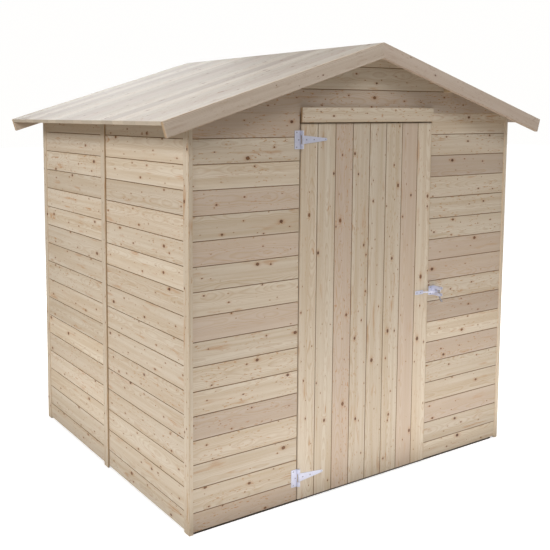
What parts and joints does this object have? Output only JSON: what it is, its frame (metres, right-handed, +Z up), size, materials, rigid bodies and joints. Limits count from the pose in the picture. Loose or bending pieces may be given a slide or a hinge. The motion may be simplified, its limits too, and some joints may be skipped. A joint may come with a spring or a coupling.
{
  "type": "wooden garden shed",
  "caption": "Hollow timber garden shed with a low gable roof, boarded walls, a hinged plank door and a lever gate latch.",
  "frame": {"origin": "on the ground, in the middle of the rectangle that the roof covers", "axes": "+Z up; -Y out of the door wall; +X to the right for someone who faces the door"},
  "size_m": [2.427, 1.85, 2.2103],
  "materials": {
    "cladding": "planed untreated spruce boards",
    "trim": "planed untreated spruce strips",
    "framing": "sawn untreated spruce",
    "roof_boards": "planed untreated spruce boards, pale",
    "treated_sill": "dark pressure-treated wood",
    "galvanised": "zinc-plated sheet steel",
    "lever_steel": "dull grey zinc"
  },
  "bodies": {
    "shed": {"front_sill": "treated_sill", "back_sill": "treated_sill", "front_wall_left": "cladding", "front_wall_right": "cladding", "front_gable": "cladding", "back_wall_left": "cladding", "back_wall_right": "cladding", "back_gable": "cladding", "left_wall_front": "cladding", "left_wall_rear": "cladding", "right_wall_front": "cladding", "right_wall_rear": "cladding", "front_left_corner": "trim", "front_right_corner": "trim", "back_left_corner": "trim", "back_right_corner": "trim", "left_cover_strip": "trim", "right_cover_strip": "trim", "back_cover_strip": "trim", "corner_studs": "framing", "door_jambs": "framing", "side_studs": "framing", "back_stud": "framing", "side_rails": "framing", "end_rails": "framing", "door_header": "trim", "upper_hinge_plate": "galvanised", "lower_hinge_plate": "galvanised", "latch_body": "galvanised", "roof_left": "roof_boards", "roof_right": "roof_boards", "ridge_beam": "framing", "purlins": "framing", "front_left_barge": "trim", "front_right_barge": "trim", "back_left_barge": "trim", "back_right_barge": "trim"},
    "door": {"door_leaf": "cladding", "door_ledges": "framing", "door_braces": "framing", "upper_hinge_strap": "galvanised", "lower_hinge_strap": "galvanised", "striker_bar": "galvanised"},
    "latch_lever": {"latch_lever": "lever_steel"}
  },
  "joints": [
    {"name": "door_hinge", "type": "hinge", "parent": "shed", "child": "door", "pos_m": [-0.428, -0.8455, 0.935], "axis": [0, 0, -1], "range_deg": [0, 160]},
    {"name": "latch_lever_pivot", "type": "hinge", "parent": "shed", "child": "latch_lever", "pos_m": [0.48, -0.879, 0.953], "axis": [-1, 0, 0], "range_deg": [0, 85]}
  ]
}
